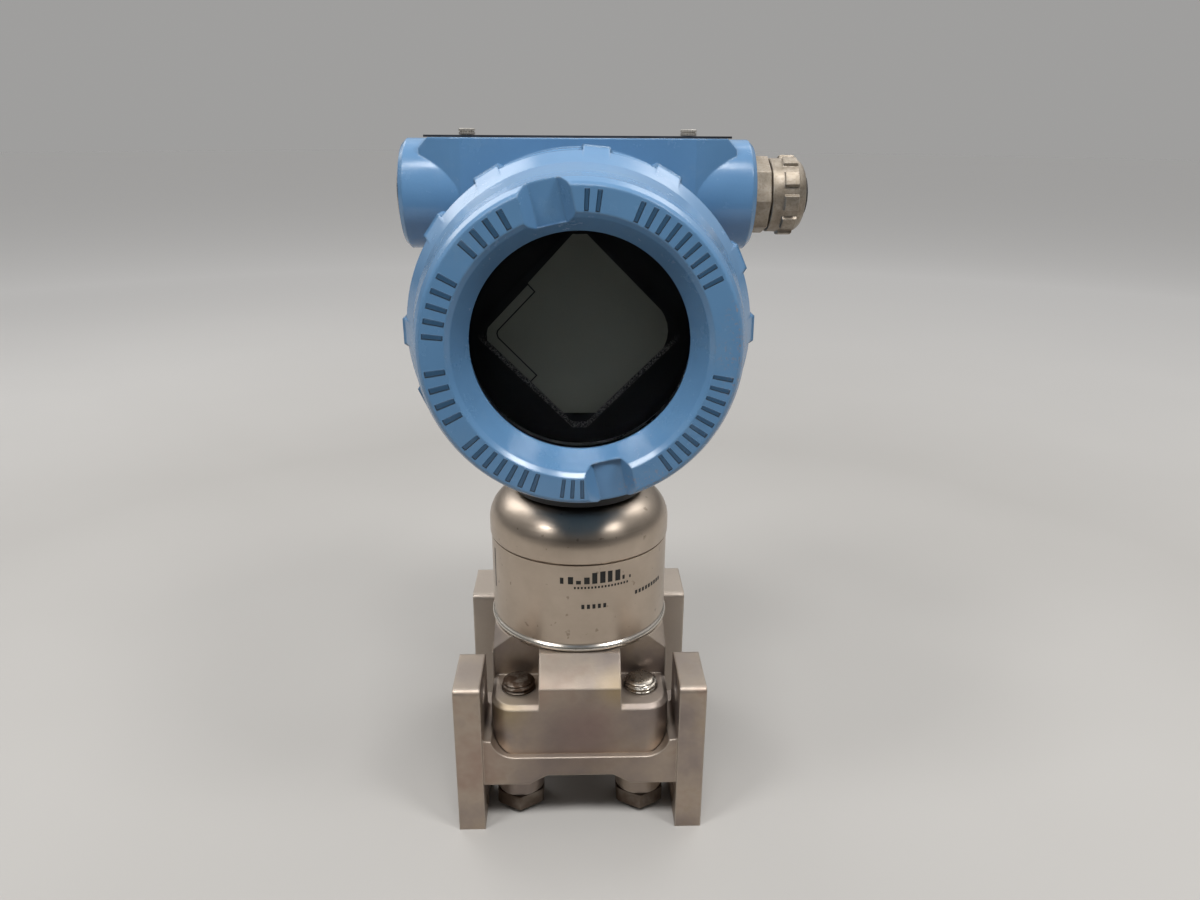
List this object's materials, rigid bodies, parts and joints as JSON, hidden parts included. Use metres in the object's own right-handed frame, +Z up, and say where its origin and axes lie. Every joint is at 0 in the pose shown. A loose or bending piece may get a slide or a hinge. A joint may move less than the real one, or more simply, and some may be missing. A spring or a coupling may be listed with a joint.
{
  "type": "differential pressure transmitter",
  "caption": "Process transmitter: round two-compartment housing with a window cover, on a sensor can, an eared base and an H-shaped process flange.",
  "frame": {"origin": "on the sensor module's axis, in the plane of the flange's four feet", "axes": "+Z up along the sensor module's axis, +X towards the cable gland, -Y out of the display window"},
  "size_m": [0.1237, 0.1319, 0.2236],
  "materials": {
    "cast_steel": "bead-blasted cast stainless steel with heat tint",
    "steel": "machined stainless steel",
    "can_steel": "satin spun stainless steel",
    "nickel": "worn nickel-plated brass",
    "blue_paint": "glossy blue paint on cast aluminium",
    "retainer_aluminium": "machined",
    "label_metal": "thin bare plate",
    "black_plastic": "matt black",
    "black_gloss": "gloss black",
    "lcd_grey": "unlit display glass",
    "board_green": "solder mask",
    "seal_white": "filled PTFE",
    "rubber_black": "nitrile rubber",
    "brass": "plated terminal screws",
    "glass": "clear window glass"
  },
  "bodies": {
    "sensor_module": {"process_flange": "cast_steel", "module_base": "cast_steel", "isolating_diaphragms": "steel", "process_seals": "seal_white", "flange_bolts": "steel", "sensor_can": "can_steel", "module_band": "can_steel", "sensor_cell": "steel", "sensor_board": "board_green", "header_connector": "black_plastic", "module_neck": "steel", "neck_collar": "black_plastic"},
    "housing_head": {"housing": "blue_paint", "front_seal": "rubber_black", "rear_seal": "rubber_black", "rotation_set_screw": "steel", "electronics_module": "black_plastic", "module_screws": "steel", "display_bezel": "black_gloss", "lcd_panel": "lcd_grey", "display_board": "board_green", "display_screws": "steel", "terminal_block": "black_plastic", "terminal_screws": "brass", "block_screws": "steel", "conduit_plug": "steel", "gland_body": "nickel", "gland_seal": "rubber_black", "nameplate_screws": "steel", "zero_spring": "steel", "span_spring": "steel"},
    "nameplate": {"top_nameplate": "label_metal"},
    "zero_key": {"zero_button": "black_plastic"},
    "span_key": {"span_button": "black_plastic"},
    "front_cover": {"display_cover": "blue_paint", "window_glass": "glass", "glass_gasket": "rubber_black", "glass_retainer": "retainer_aluminium"},
    "back_cover": {"rear_cover": "blue_paint"},
    "gland_nut": {"gland_cap": "nickel"}
  },
  "joints": [
    {"name": "housing_turn", "type": "hinge", "parent": "sensor_module", "child": "housing_head", "pos_m": [0, 0, 0.123], "axis": [0, 0, 1], "range_deg": [-180, 180]},
    {"name": "nameplate_swing", "type": "hinge", "parent": "housing_head", "child": "nameplate", "pos_m": [0.0334, 0, 0.2213], "axis": [0, 0, 1], "range_deg": [0, 120]},
    {"name": "zero_press", "type": "slide", "parent": "housing_head", "child": "zero_key", "axis": [0, 0, -1], "range_m": [0, 0.0015], "stiffness_N_per_m": 1500, "deforming": ["zero_spring"]},
    {"name": "span_press", "type": "slide", "parent": "housing_head", "child": "span_key", "axis": [0, 0, -1], "range_m": [0, 0.0015], "stiffness_N_per_m": 1500, "deforming": ["span_spring"]},
    {"name": "display_cover_off", "type": "slide", "parent": "housing_head", "child": "front_cover", "axis": [0, -1, 0], "range_m": [0, 0.06]},
    {"name": "rear_cover_off", "type": "slide", "parent": "housing_head", "child": "back_cover", "axis": [0, 1, 0], "range_m": [0, 0.04]},
    {"name": "gland_cap_turn", "type": "hinge", "parent": "housing_head", "child": "gland_nut", "pos_m": [0.062, 0, 0.2046], "axis": [1, 0, 0], "range_deg": [0, 360]}
  ]
}
